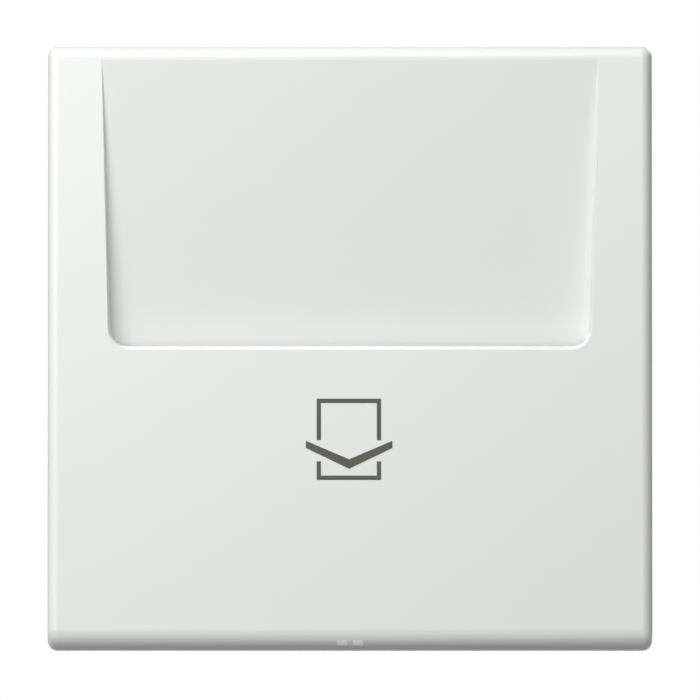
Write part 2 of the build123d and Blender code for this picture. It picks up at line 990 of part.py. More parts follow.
# Insert lid
def key_lug():
    """One of the lid's two lugs that hold the key's pin."""
    low = key_half_width + key_lug_gap
    high = low + key_lug_wall
    eye = rod(
        key_lug_radius, (low, -key_pivot_front, key_pivot_z), (high, -key_pivot_front, key_pivot_z)
    )
    foot = block(
        (low, high),
        (-key_pivot_front, -lid_front + bite),
        (key_pivot_z - key_lug_radius, key_pivot_z + key_lug_radius),
    )
    return eye + foot


def hook_groove(z):
    """The groove in the lid's side that a hook of the guide snaps into."""
    return block(
        (lid_half_width - hook_groove_depth, lid_half_width + overrun),
        (-hook_groove_front - hook_barb_height - 2 * hook_play, -hook_groove_front),
        (z - hook_height / 2 - hook_play, z + hook_height / 2 + hook_play),
    )


def make_insert_lid():
    frame = rounded_rectangle(
        (-lid_half_width, lid_half_width), (-lid_half_height, lid_half_height), lid_corner
    )
    lid = prism_y(frame, -lid_front, -plate_front)
    lid = lid - block(
        (-window_half_width, window_half_width),
        (-lid_front - overrun, -lid_floor_front),
        (window_bottom_z, window_top_z),
    )
    collar_radius = plunger_radius + running_gap + fixed_gap + collar_wall
    lid = lid + rod(
        collar_radius, (0, -plate_front - lid_floor / 2, plunger_z), (0, collar_behind, plunger_z)
    )
    cup_end = cup_bottom_behind + cup_floor
    lid = lid + rod(
        cup_radius + cup_wall,
        (0, -plate_front - lid_floor / 2, key_spring_z),
        (0, cup_end, key_spring_z),
    )
    lid = lid + both_sides(key_lug())
    lid = lid - rod(
        plunger_radius + running_gap + fixed_gap,
        (0, -lid_front, plunger_z),
        (0, collar_behind + overrun, plunger_z),
    )
    lid = lid - rod(cup_radius, (0, -lid_front, key_spring_z), (0, cup_bottom_behind, key_spring_z))
    for side in (-1, 1):
        z = side * insert_screw_z
        through = rod(
            insert_screw_radius + fixed_gap, (insert_screw_x, -lid_front, z), (insert_screw_x, 0, z)
        )
        sink = rod(
            insert_screw_head_radius + seat_gap,
            (insert_screw_x, -lid_front - overrun, z),
            (insert_screw_x, insert_screw_sink - lid_front, z),
        )
        groove = hook_groove(side * (hook_inner_z + hook_height / 2))
        lid = lid - both_sides(through) - both_sides(sink) - both_sides(groove)
    reach = key_half_width + key_lug_gap + key_lug_wall + overrun
    return lid - rod(
        key_pin_radius + fixed_gap,
        (-reach, -key_pivot_front, key_pivot_z),
        (reach, -key_pivot_front, key_pivot_z),
    )


def make_insert_screws():
    screws = []
    seat = lid_front - insert_screw_sink
    for side in (-1, 1):
        z = side * insert_screw_z
        head = slotted_head(
            insert_screw_x, z, seat, insert_screw_head_radius, insert_screw_head_height,
            screw_slot_width,
        )
        shank = rod(
            insert_screw_radius, (insert_screw_x, -seat, z), (insert_screw_x, insert_screw_length, z)
        )
        screws += both_sides(head + shank)
    return group(*screws)


# Insert base
def base_outline(inset):
    """The housing's outline, seen along Y, drawn in from the outside by a wall."""
    wide, tall = base_half_width - inset, base_half_height - inset
    cut = base_chamfer - inset * (2 - math.sqrt(2))
    waist, step = recess_half_width - inset, recess_half_height + inset
    quarter = [(waist, step), (wide, step), (wide, tall - cut), (wide - cut, tall)]
    upper_left = [(-x, z) for x, z in reversed(quarter)]
    lower_left = [(-x, -z) for x, z in quarter]
    lower_right = [(x, -z) for x, z in reversed(quarter)]
    return outline(quarter + upper_left + lower_left + lower_right)


def spring_shelf():
    """A shelf inside the housing that a leaf spring's straight leg lies on."""
    top = leaf_leg_z - leaf_thickness / 2
    return block(
        (shelf_inner, base_half_width - base_wall + bite),
        (shelf_front_behind, floor_behind + bite),
        (top - shelf_thickness, top),
    )


def wire_entry():
    """The hole and funnel of one wire entry."""
    hole = rod(wire_radius, (wire_place, floor_behind - overrun, wire_z), (wire_place, base_depth, wire_z))
    mouth = Plane(origin=(wire_place, base_depth + entry_ring_height, wire_z), z_dir=(0, -1, 0))
    depth = funnel_depth + entry_ring_height
    flare = mouth * Cone(
        funnel_radius, wire_radius, depth, align=(Align.CENTER, Align.CENTER, Align.MIN)
    )
    return hole + flare


def base_upper_cuts():
    """Wire entry, button opening and screw hole in the housing's upper right quarter."""
    button = block(
        (-button_half_width - button_play, button_half_width + button_play),
        (floor_behind - overrun, base_depth + overrun),
        (button_low_z - button_play, button_high_z + button_play),
    )
    screw = rod(
        insert_screw_radius + fixed_gap,
        (insert_screw_x, -overrun, insert_screw_z),
        (insert_screw_x, insert_screw_length + seat_gap, insert_screw_z),
    )
    return wire_entry() + button + screw


def make_insert_base():
    shell = prism_y(base_outline(0), 0, base_depth)
    rear_edges = shell.edges().filter_by_position(
        Axis.Y, base_depth - pick_tolerance, base_depth + pick_tolerance
    )
    shell = chamfer(rear_edges, base_rear_bevel)
    inside = prism_y(base_outline(base_wall), -overrun, floor_behind)
    boss = shell & rod(
        screw_boss_radius,
        (insert_screw_x, 0, insert_screw_z),
        (insert_screw_x, screw_boss_depth, insert_screw_z),
    )
    base = shell - inside + all_quarters(boss)
    base = base + block(
        (-socket_half_width, socket_half_width),
        (0, socket_depth),
        (socket_bottom_z, bite - base_half_height),
    )
    ring = rod(
        entry_ring_radius,
        (wire_place, base_depth - bite, wire_z),
        (wire_place, base_depth + entry_ring_height, wire_z),
    )
    base = base + all_quarters(spring_shelf()) + all_quarters(ring)
    base = base - all_quarters(base_upper_cuts())
    base = base + rod(
        post_radius, (0, spring_seat_behind, plunger_z), (0, floor_behind + bite, plunger_z)
    )
    base = base + rod(
        post_pilot_radius,
        (0, spring_seat_behind - post_pilot_length, plunger_z),
        (0, spring_seat_behind + bite, plunger_z),
    )
    return base - both_sides(blade_slot(-overrun, blade_behind + seat_gap))


# Push key
def make_push_key():
    plate = prism_y(
        rounded_rectangle(
            (-key_half_width, key_half_width), (key_bottom_z, key_top_z), key_corner
        ),
        -key_front,
        -key_rear_front,
    )
    dish = prism_y(
        rounded_rectangle(
            (key_rim - key_half_width, key_half_width - key_rim),
            (cam_z + key_dish_above_cam, key_pivot_z - key_dish_below_pivot),
            key_corner,
        ),
        -key_front - overrun,
        key_dish - key_front,
    )
    barrel = rod(
        key_barrel_radius,
        (-key_half_width, -key_pivot_front, key_pivot_z),
        (key_half_width, -key_pivot_front, key_pivot_z),
    )
    spring_pin = rod(
        key_spring_pin_radius,
        (0, -key_rear_front - bite, key_spring_z),
        (0, key_spring_pin_length - key_rear_front, key_spring_z),
    )
    hole = rod(
        key_pin_radius + running_gap,
        (-key_half_width - overrun, -key_pivot_front, key_pivot_z),
        (key_half_width + overrun, -key_pivot_front, key_pivot_z),
    )
    return plate + barrel + spring_pin - dish - hole


def make_key_pin():
    end = key_half_width + key_lug_gap + key_lug_wall
    return rod(
        key_pin_radius, (-end, -key_pivot_front, key_pivot_z), (end, -key_pivot_front, key_pivot_z)
    )


# Coil springs: each quarter turn of the helix is two arcs that meet without a kink
def quarter_turn(start, start_way, end, end_way):
    """Two tangent arcs from one point and direction to another."""
    across = end - start
    both_ways = start_way + end_way
    square = 2 * (1 - start_way.dot(end_way))
    linear = 2 * across.dot(both_ways)
    constant = across.dot(across)
    reach = (math.sqrt(linear**2 + 4 * square * constant) - linear) / (2 * square)
    first_corner = start + start_way * reach
    second_corner = end - end_way * reach
    middle = (first_corner + second_corner) / 2
    middle_way = (second_corner - first_corner).normalized()
    return [
        TangentArc(start, middle, tangent=start_way),
        TangentArc(middle, end, tangent=middle_way),
    ]


def coil_spring(name, z, radius, turns, low_y, high_y):
    """A compression spring along Y, from one seat to the other."""
    rise = high_y - low_y - spring_wire
    quarters = 4 * turns
    climb = rise / quarters

    def point(step):
        angle = math.pi / 2 * step
        y = low_y + spring_wire / 2 + climb * step
        return Vector(radius * math.cos(angle), y, z + radius * math.sin(angle))

    def way(step):
        angle = math.pi / 2 * step
        turn = radius * math.pi / 2
        return Vector(-turn * math.sin(angle), climb, turn * math.cos(angle)).normalized()

    arcs = []
    for step in range(quarters):
        arcs += quarter_turn(point(step), way(step), point(step + 1), way(step + 1))
    path = Wire(arcs)
    start = Plane(origin=point(0), z_dir=way(0))
    wire = sweep(start * Circle(spring_wire / 2), path=path)
    print(name, "least gap between turns", round(least_turn_gap(arcs), 3), "mm")
    return wire


def least_turn_gap(arcs):
    """The smallest gap between one turn and the next, measured on points along the arcs."""
    shares = (0, 0.25, 0.5, 0.75)
    places = [arc.position_at(share) for arc in arcs for share in shares]
    turn = len(shares) * 8
    gaps = []
    for index, place in enumerate(places):
        later = places[index + turn // 2:]
        gaps += [(place - other).length - spring_wire for other in later]
    return min(gaps)


def make_key_spring():
    return coil_spring(
        "key_spring",
        key_spring_z,
        key_spring_radius,
        key_spring_turns,
        seat_gap - key_rear_front,
        cup_bottom_behind - fixed_gap,
    )


def make_contact_spring():
    return coil_spring(
        "contact_spring",
        plunger_z,
        contact_spring_radius,
        contact_spring_turns,
        carriage_behind + fixed_gap,
        spring_seat_behind - fixed_gap,
    )


# Plunger, bridge and silver tips
def make_contact_plunger():
    top = seat_gap - key_rear_front
    stem = rod(plunger_radius, (0, top, plunger_z), (0, plunger_neck_behind + bite, plunger_z))
    rim = stem.edges().filter_by_position(Axis.Y, top - pick_tolerance, top + pick_tolerance)
    stem = fillet(rim, plunger_rim_round)
    carriage = block(
        (-carriage_half_width, carriage_half_width),
        (plunger_neck_behind, carriage_behind),
        (plunger_z - carriage_half_height, plunger_z + carriage_half_height),
    )
    half = bridge_half_width + fixed_gap
    slot = block(
        (-half, half),
        (bridge_behind - fixed_gap, bridge_behind + bridge_thickness + fixed_gap),
        (plunger_z - carriage_half_height - overrun, plunger_z + carriage_half_height + overrun),
    )
    return stem + carriage - slot


def make_contact_bridge():
    low_z, high_z = plunger_z - bridge_half_length, plunger_z + bridge_half_length
    shape = rounded_rectangle(
        (-bridge_half_width, bridge_half_width), (low_z, high_z), bridge_half_width / 2
    )
    return prism_y(shape, bridge_behind, bridge_behind + bridge_thickness)


def tips(radius, low_y, high_y):
    """Two round silver tips, one near each end of the bridge."""
    pair = []
    for side in (-1, 1):
        z = plunger_z + side * tip_place
        pair.append(rod(radius, (0, low_y, z), (0, high_y, z)))
    return group(*pair)


tip_rear = bridge_behind + bridge_thickness + tip_thickness
fixed_tip_front = tip_rear + contact_gap
web_front = fixed_tip_front + tip_thickness


# Terminals
def make_contact(tip_z):
    """A fixed contact for the upper terminals: a web up from its tip, and a busbar."""
    web = block(
        (-web_half_width, web_half_width),
        (web_front, web_front + bus_thickness),
        (tip_z - web_overlap, base_inner_height),
    )
    bus = block(
        (-bus_half_width, bus_half_width),
        (web_front, bus_rear_behind),
        (bus_inner_z, base_inner_height),
    )
    return web + bus


def make_line_contact():
    return make_contact(plunger_z + tip_place)


def make_load_contact():
    return upside_down(make_contact(tip_place - plunger_z))


leaf_turn = math.radians(leaf_angle)
leaf_centre = (leaf_bend_behind, leaf_leg_z + leaf_bend_radius)
tongue_start = (
    leaf_centre[0] + leaf_bend_radius * math.sin(leaf_turn),
    leaf_centre[1] + leaf_bend_radius * math.cos(leaf_turn),
)


def make_leaf():
    """A leaf spring of the upper terminals: a straight leg, a round bend and a slanted tongue."""
    half = leaf_thickness / 2
    inner, outer = leaf_bend_radius - half, leaf_bend_radius + half
    sweep_angle = 180 - leaf_angle
    length = (bus_inner_z - leaf_bus_gap - tongue_start[1]) / math.sin(leaf_turn)
    away = (math.sin(leaf_turn), math.cos(leaf_turn))
    along = (-length * math.cos(leaf_turn), length * math.sin(leaf_turn))
    outer_start = (leaf_centre[0] + outer * away[0], leaf_centre[1] + outer * away[1])
    inner_start = (leaf_centre[0] + inner * away[0], leaf_centre[1] + inner * away[1])
    outer_end = (outer_start[0] + along[0], outer_start[1] + along[1])
    inner_end = (inner_start[0] + along[0], inner_start[1] + along[1])
    low, high = leaf_leg_z - half, leaf_leg_z + half
    edges = [
        Line((leaf_leg_behind, low), (leaf_bend_behind, low)),
        CenterArc(leaf_centre, outer, -90, sweep_angle),
        Line(outer_start, outer_end),
        Line(outer_end, inner_end),
        Line(inner_end, inner_start),
        CenterArc(leaf_centre, inner, -90, sweep_angle),
        Line((leaf_bend_behind, high), (leaf_leg_behind, high)),
        Line((leaf_leg_behind, high), (leaf_leg_behind, low)),
    ]
    return prism_x(
        make_face(edges), wire_place - leaf_half_width, wire_place + leaf_half_width
    )


def make_line_clamp_springs():
    return group(*both_sides(make_leaf()))


def make_load_clamp_springs():
    return group(*both_sides(upside_down(make_leaf())))


def make_release_button():
    """The upper terminals' button: a cap through the rear wall and two fingers on the springs."""
    wing_rear = floor_behind - wing_rear_gap
    wing_front = wing_rear - wing_thickness
    cap = block(
        (-button_half_width, button_half_width),
        (wing_front, base_depth + button_proud),
        (button_low_z, button_high_z),
    )
    wings = block(
        (-wing_half_width, wing_half_width), (wing_front, wing_rear), (wing_low_z, wing_high_z)
    )
    finger_low = wing_low_z + finger_inset
    slope = 1 / math.tan(leaf_turn)
    leaf_back = leaf_thickness / 2 / math.sin(leaf_turn)
    leaf_y = tongue_start[0] - (finger_low - tongue_start[1]) * slope + leaf_back
    finger = block(
        (wing_half_width - finger_width, wing_half_width),
        (leaf_y + slide_gap, wing_front + bite),
        (finger_low, wing_high_z - finger_inset),
    )
    return cap + wings + both_sides(finger)


# Orientation light
def make_lamp_holder():
    holder = block(
        (-board_half_width - holder_margin, board_half_width + holder_margin),
        (-plate_front - holder_thickness, -plate_front),
        (board_low_z, board_high_z + holder_margin),
    )
    return holder - both_sides(blade_slot(-plate_front - holder_thickness - overrun, overrun))


def make_lamp_board():
    rear = plate_front + holder_thickness
    board = block(
        (-board_half_width, board_half_width),
        (-rear - board_thickness, -rear),
        (board_low_z, board_high_z),
    )
    return board - both_sides(blade_slot(-rear - board_thickness - overrun, overrun))


def make_lamp():
    seat = plate_front + holder_thickness + board_thickness
    dome = seat + lamp_length - lamp_radius
    flange = rod(lamp_flange_radius, (0, -seat, lamp_z), (0, -seat - lamp_flange, lamp_z))
    body = rod(lamp_radius, (0, -seat, lamp_z), (0, -dome, lamp_z))
    return flange + body + Pos(0, -dome, lamp_z) * Sphere(lamp_radius)


def make_lamp_blades():
    front = plate_front + holder_thickness + board_thickness + blade_solder
    blade = block(
        (blade_place - blade_half_width, blade_place + blade_half_width),
        (-front, blade_behind),
        (blade_z - blade_thickness / 2, blade_z + blade_thickness / 2),
    )
    return group(*both_sides(blade))


# Claws, with their screws and barrel nuts, made for the right side
def make_claw():
    x, y, half = claw_pivot_x, claw_pivot_behind, claw_thickness / 2
    eye = rod(claw_eye_radius, (x, y, -claw_eye_half), (x, y, claw_eye_half))
    fork = block((x, x + claw_fork_length), (y - half, y + half), (-claw_fork_half, claw_fork_half))
    arm = block((x - half, x + half), (y, claw_arm_end_behind), (-claw_arm_half, claw_arm_half))
    end = claw_arm_end_behind
    tooth = outline(
        [(x - half, end), (x - half, end - claw_tooth_back), (x + half, end - claw_tooth_back),
         (x + half + claw_tooth_length, end)]
    )
    teeth = prism_z(tooth, claw_tooth_inner, claw_arm_half)
    fork_slot = block(
        (x + claw_slot_start, x + claw_fork_length + overrun),
        (y - half - overrun, y + half + overrun),
        (-claw_slot_half, claw_slot_half),
    )
    arm_slot = block(
        (x - half - overrun, x + half + overrun),
        (y + claw_arm_slot_start, y + claw_arm_slot_end),
        (-claw_slot_half, claw_slot_half),
    )
    hole = rod(
        claw_pin_radius + running_gap,
        (x, y, -claw_eye_half - overrun),
        (x, y, claw_eye_half + overrun),
    )
    return eye + fork + arm + teeth + upside_down(teeth) - fork_slot - arm_slot - hole


def make_claw_screw():
    seat = plate_front + claw_screw_seat
    head = slotted_head(
        claw_screw_x, 0, seat, claw_screw_head_radius, claw_screw_head_height,
        claw_screw_slot_width,
    )
    shank = rod(claw_screw_radius, (claw_screw_x, -seat, 0), (claw_screw_x, claw_screw_tip_behind, 0))
    return head + shank


def make_claw_nut():
    barrel = rod(
        claw_nut_radius,
        (claw_screw_x, claw_nut_behind, -claw_nut_half),
        (claw_screw_x, claw_nut_behind, claw_nut_half),
    )
    reach = claw_nut_radius + overrun
    hole = rod(
        claw_screw_radius + running_gap,
        (claw_screw_x, claw_nut_behind - reach, 0),
        (claw_screw_x, claw_nut_behind + reach, 0),
    )
    return barrel - hole


def make_claw_pins():
    end = claw_eye_half + claw_ear_gap + claw_ear_wall + claw_pin_overhang
    pin = rod(
        claw_pin_radius,
        (claw_pivot_x, claw_pivot_behind, -end),
        (claw_pivot_x, claw_pivot_behind, end),
    )
    return group(*both_sides(pin))


# All the pieces, each written to its own file
pieces = {
    "front_cover": make_front_cover(),
    "light_guide": make_light_guide(),
    "card_guide": make_card_guide(),
    "guide_screws": make_guide_screws(),
    "card_lever": make_card_lever(),
    "lever_pin": make_lever_pin(),
    "support_plate": make_support_plate(),
    "insert_lid": make_insert_lid(),
    "insert_base": make_insert_base(),
    "insert_screws": make_insert_screws(),
    "push_key": make_push_key(),
    "key_pin": make_key_pin(),
    "key_spring": make_key_spring(),
    "contact_plunger": make_contact_plunger(),
    "contact_bridge": make_contact_bridge(),
    "bridge_tips": tips(tip_radius, tip_rear - tip_thickness, tip_rear),
    "contact_spring": make_contact_spring(),
    "line_contact": make_line_contact(),
    "load_contact": make_load_contact(),
    "fixed_tips": tips(fixed_tip_radius, fixed_tip_front, web_front),
    "line_clamp_springs": make_line_clamp_springs(),
    "load_clamp_springs": make_load_clamp_springs(),
    "line_release_button": make_release_button(),
    "load_release_button": upside_down(make_release_button()),
    "lamp_holder": make_lamp_holder(),
    "lamp_board": make_lamp_board(),
    "lamp": make_lamp(),
    "lamp_blades": make_lamp_blades(),
    "claw_right": make_claw(),
    "claw_left": mirrored(make_claw()),
    "claw_screw_right": make_claw_screw(),
    "claw_screw_left": mirrored(make_claw_screw()),
    "claw_nut_right": make_claw_nut(),
    "claw_nut_left": mirrored(make_claw_nut()),
    "claw_pins": make_claw_pins(),
}

os.makedirs("parts", exist_ok=True)
for name, shape in pieces.items():
    export_step(shape, f"parts/{name}.step")

print("lever swings", round(math.degrees(lever_swing), 4), "degrees")
print("key swings", round(math.degrees(key_swing), 4), "degrees")
print("plunger travels", round(plunger_travel, 4), "mm, contact gap", round(contact_gap, 4), "mm")
print("claw nut travels", round(claw_nut_travel, 4), "mm in", round(claw_screw_turns, 4), "turns")
print("card at the nose pushes it", round(nose_reach - (slot_gap - card_thickness), 3), "mm or more")
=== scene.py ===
# %% [markdown]
# # A hotel key card switch, dressed in Blender
#
# The model arrives from CAD as 47 closed solids in 35 nodes, which already move on their joints.
# This lesson gives them the surfaces of the real object. Everything is in metres in one shared
# frame: X to the right, Y into the wall, Z up, with the wall plane at y = 0.

# %% The frame and the tools
import json
import math

import bmesh
import bpy
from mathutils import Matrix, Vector


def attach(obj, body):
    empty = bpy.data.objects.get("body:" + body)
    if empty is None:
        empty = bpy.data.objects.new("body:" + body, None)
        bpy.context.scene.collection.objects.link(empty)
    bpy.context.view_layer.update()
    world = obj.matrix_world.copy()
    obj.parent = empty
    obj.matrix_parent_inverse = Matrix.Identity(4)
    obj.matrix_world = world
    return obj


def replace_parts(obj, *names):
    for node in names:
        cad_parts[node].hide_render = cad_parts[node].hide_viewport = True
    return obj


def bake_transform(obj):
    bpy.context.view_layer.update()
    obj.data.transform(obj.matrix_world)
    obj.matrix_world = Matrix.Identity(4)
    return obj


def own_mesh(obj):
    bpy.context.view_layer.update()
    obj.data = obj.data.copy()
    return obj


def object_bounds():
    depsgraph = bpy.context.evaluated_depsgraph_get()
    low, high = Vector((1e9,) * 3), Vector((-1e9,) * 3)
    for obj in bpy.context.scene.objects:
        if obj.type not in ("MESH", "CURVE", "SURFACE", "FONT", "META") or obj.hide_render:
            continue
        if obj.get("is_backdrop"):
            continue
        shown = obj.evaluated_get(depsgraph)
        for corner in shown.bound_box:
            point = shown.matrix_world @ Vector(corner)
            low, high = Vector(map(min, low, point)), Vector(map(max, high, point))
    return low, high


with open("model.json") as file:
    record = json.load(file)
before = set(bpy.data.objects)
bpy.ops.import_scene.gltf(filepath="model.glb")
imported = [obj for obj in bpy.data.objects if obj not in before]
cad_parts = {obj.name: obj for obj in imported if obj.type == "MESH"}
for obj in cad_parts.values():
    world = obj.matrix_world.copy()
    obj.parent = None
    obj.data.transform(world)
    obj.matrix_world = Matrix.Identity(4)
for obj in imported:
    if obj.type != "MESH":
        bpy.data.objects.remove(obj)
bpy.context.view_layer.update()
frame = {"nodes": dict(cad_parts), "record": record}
mm = 0.001

# %% [markdown]
# ## Shader maths that reads like maths
#
# A material is a small program drawn as nodes. Writing `grain * 0.2 + 0.4` is easier to read than
# adding and linking three Math nodes by hand, so a small class wraps an output socket and lets
# Python's operators add the nodes. Every other node comes from one method, `add`.

# %% Signals and finishes
class Signal:
    """A number that a node puts out. Adding or multiplying it adds a Math node."""

    def __init__(self, finish, socket):
        self.finish = finish
        self.socket = socket

    def math(self, operation, first, second=0.0):
        return self.finish.add("ShaderNodeMath", {"operation": operation}, {0: first, 1: second})

    def __add__(self, other):
        return self.math("ADD", self, other)

    def __radd__(self, other):
        return self.math("ADD", other, self)

    def __sub__(self, other):
        return self.math("SUBTRACT", self, other)

    def __rsub__(self, other):
        return self.math("SUBTRACT", other, self)

    def __mul__(self, other):
        return self.math("MULTIPLY", self, other)

    def __rmul__(self, other):
        return self.math("MULTIPLY", other, self)


class Finish:
    """A material with a Principled shader, and the methods that build what feeds it."""

    def __init__(self, name, **constants):
        self.material = bpy.data.materials.new(name)
        self.material.use_nodes = True
        self.tree = self.material.node_tree
        self.shader = self.tree.nodes["Principled BSDF"]
        for socket, value in constants.items():
            self.shader.inputs[socket.replace("_", " ")].default_value = value
        self.places = self.add("ShaderNodeTexCoord", {}, {}, "Object")

    def add(self, kind, settings, sockets, output=0):
        """Adds a node, sets it up, fills its sockets and returns one of its outputs."""
        node = self.tree.nodes.new(kind)
        for name, value in settings.items():
            if name == "stops":
                for stop, (position, colour) in zip(node.color_ramp.elements, value):
                    stop.position = position
                    stop.color = colour
            else:
                setattr(node, name, value)
        for name, value in sockets.items():
            if isinstance(value, Signal):
                self.tree.links.new(value.socket, node.inputs[name])
            else:
                node.inputs[name].default_value = value
        return Signal(self, node.outputs[output])

    def feed(self, **signals):
        for name, signal in signals.items():
            self.tree.links.new(signal.socket, self.shader.inputs[name.replace("_", " ")])

    def stretched(self, x, y, z):
        """The surface's own coordinates, stretched so that patterns turn into streaks."""
        return self.add("ShaderNodeMapping", {}, {"Vector": self.places, "Scale": (x, y, z)})

    def noise(self, size, detail=2.0, roughness=0.5, where=None):
        """A soft random pattern whose blobs are about as large as size, in metres."""
        sockets = {
            "Vector": where or self.places,
            "Scale": 1 / size,
            "Detail": detail,
            "Roughness": roughness,
        }
        return self.add("ShaderNodeTexNoise", {}, sockets, "Fac")

    def cells(self, size):
        """Irregular patches, each with its own random value."""
        sockets = {"Vector": self.places, "Scale": 1 / size}
        return self.add("ShaderNodeTexVoronoi", {}, sockets, "Color")

    def band(self, signal, low, high, to_low=0.0, to_high=1.0):
        """A signal between two limits, spread over two other limits and held there."""
        sockets = {0: signal, 1: low, 2: high, 3: to_low, 4: to_high}
        return self.add("ShaderNodeMapRange", {}, sockets)

    def blend(self, share, first, second):
        """A colour between two others."""
        return self.add("ShaderNodeMix", {"data_type": "RGBA"}, {0: share, 6: first, 7: second}, 2)

    def bump(self, height, depth, under=None):
        """Small relief: depth is the height in metres of a full step of the pattern."""
        sockets = {"Height": height, "Distance": depth, "Strength": 1.0}
        if under is not None:
            sockets["Normal"] = under
        return self.add("ShaderNodeBump", {}, sockets)


def shade(colour, factor):
    """A colour made lighter or darker."""
    return (*[min(1.0, channel * factor) for channel in colour[:3]], 1.0)


print("shader helpers ready")

# %% [markdown]
# ## Moulded plastics
#
# The cover is moulded in one piece in a light grey with a trace of green. It isn't a mirror: the
# mould is finely eroded, so its texture spreads every highlight. The grain is about as fine as
# one pixel of the front view, so it only shows up close. The cover's colour drifts by a percent
# where the melt flowed, and the card rest carries faint upright rub marks from years of cards.
# Pictures of all this would blur up close, so it comes from noise on the piece's coordinates.

# %% Plastic finishes
def moulded(name, colour, roughness, grain, depth, drift=0.02):
    """A matt to satin plastic with an eroded mould texture and a slow drift of colour."""
    finish = Finish(name, Base_Color=(*colour, 1.0), Roughness=roughness, IOR=1.5)
    flow = finish.noise(9 * mm, 3.0)
    finish.feed(Base_Color=finish.blend(flow, shade(colour, 1 - drift), shade(colour, 1 + drift)))
    texture = finish.noise(grain, 3.0, 0.65)
    finish.feed(Roughness=texture * 0.14 + (roughness - 0.07))
    finish.feed(Normal=finish.bump(texture, depth))
    return finish


def cover_finish():
    """The cover's plastic, with rub marks where the cards slide down."""
    colour = (0.765, 0.790, 0.752)
    finish = Finish(
        "satin_cover_plastic",
        Base_Color=(*colour, 1.0),
        Roughness=0.36,
        IOR=1.5,
        Specular_IOR_Level=1.0,
    )
    flow = finish.noise(26 * mm, 2.0)
    finish.feed(Base_Color=finish.blend(flow, shade(colour, 0.992), shade(colour, 1.008)))
    grain = finish.noise(0.16 * mm, 3.0, 0.6)
    streaks = finish.noise(0.5 * mm, 3.0, 0.6, finish.stretched(1.0, 1.0, 0.035))
    sideways = finish.add("ShaderNodeSeparateXYZ", {}, {0: finish.places}, "X")
    height = finish.add("ShaderNodeSeparateXYZ", {}, {0: finish.places}, "Z")
    beside = finish.band(sideways.math("ABSOLUTE", sideways), 25 * mm, 28 * mm, 1.0, 0.0)
    above_slot = finish.band(height, 0.5 * mm, 2 * mm)
    below_top = finish.band(height, 22 * mm, 33 * mm, 1.0, 0.0)
    rubbed = finish.band(streaks, 0.55, 0.75) * beside * (above_slot * below_top)
    finish.feed(Roughness=grain * 0.10 + 0.31 - rubbed * 0.07)
    under = finish.bump(grain, 0.0012 * mm)
    finish.feed(Normal=finish.bump(rubbed, 0.0008 * mm, under))
    return finish


finishes = {
    "cover_plastic": cover_finish(),
    "guide_plastic": moulded(
        "dark_guide_plastic", (0.045, 0.048, 0.050), 0.48, 0.25 * mm, 0.003 * mm
    ),
    "insert_plastic": moulded(
        "grey_housing_plastic", (0.56, 0.57, 0.54), 0.50, 0.30 * mm, 0.004 * mm, 0.03
    ),
    "key_plastic": moulded("pale_key_plastic", (0.78, 0.78, 0.74), 0.38, 0.22 * mm, 0.002 * mm),
    "button_plastic": moulded(
        "orange_button_plastic", (0.80, 0.23, 0.035), 0.40, 0.25 * mm, 0.003 * mm
    ),
}
print("plastics:", ", ".join(finish.material.name for finish in finishes.values()))

# %% [markdown]
# ## Metals
#
# Sheet steel for the plate and claws is galvanised: zinc crystals leave paler and darker patches
# about two millimetres across, and rolling leaves fine lines. Cells make the crystals, and noise
# stretched sideways makes the lines. The screws are zinc-plated and smoother. Brass and the
# silver tips tarnish a little: one pattern of soft patches feeds both colour and roughness,
# because tarnish darkens a metal and dulls it too.

# %% Metal finishes
def sheet_steel():
    """Galvanised sheet: zinc flowers under fine rolling lines."""
    finish = Finish("galvanised_sheet", Metallic=1.0, Roughness=0.38)
    flowers = finish.band(finish.cells(1.9 * mm), 0.1, 0.9)
    lines = finish.noise(0.18 * mm, 2.0, 0.5, finish.stretched(0.04, 1.0, 1.0))
    finish.feed(
        Base_Color=finish.blend(flowers, (0.51, 0.52, 0.52, 1.0), (0.57, 0.575, 0.57, 1.0))
    )
    finish.feed(Roughness=flowers * 0.04 + lines * 0.14 + 0.29)
    finish.feed(Normal=finish.bump(lines, 0.002 * mm))
    return finish


def bare_metal(name, bright, dull, roughness, streak):
    """A metal whose tarnish comes in soft patches over fine drawn lines."""
    finish = Finish(name, Metallic=1.0, Roughness=roughness)
    patches = finish.band(finish.noise(2.4 * mm, 4.0, 0.6), 0.35, 0.7)
    lines = finish.noise(0.12 * mm, 2.0, 0.5, finish.stretched(*streak))
    finish.feed(Base_Color=finish.blend(patches, bright, dull))
    finish.feed(Roughness=patches * 0.16 + lines * 0.10 + (roughness - 0.10))
    finish.feed(Normal=finish.bump(lines, 0.0015 * mm))
    return finish


finishes["plate_steel"] = sheet_steel()
finishes["plated_steel"] = bare_metal(
    "zinc_plated_steel", (0.70, 0.70, 0.67, 1.0), (0.56, 0.57, 0.55, 1.0), 0.30, (1.0, 0.1, 1.0)
)
finishes["spring_steel"] = bare_metal(
    "drawn_spring_steel", (0.60, 0.60, 0.60, 1.0), (0.44, 0.44, 0.45, 1.0), 0.28, (0.2, 1.0, 0.2)
)
finishes["contact_brass"] = bare_metal(
    "punched_brass", (0.86, 0.66, 0.30, 1.0), (0.62, 0.43, 0.18, 1.0), 0.32, (0.08, 1.0, 1.0)
)
finishes["contact_silver"] = bare_metal(
    "silver_contact_alloy", (0.90, 0.89, 0.86, 1.0), (0.70, 0.67, 0.60, 1.0), 0.26, (1.0, 1.0, 1.0)
)
print("metals ready,", len(finishes), "finishes so far")
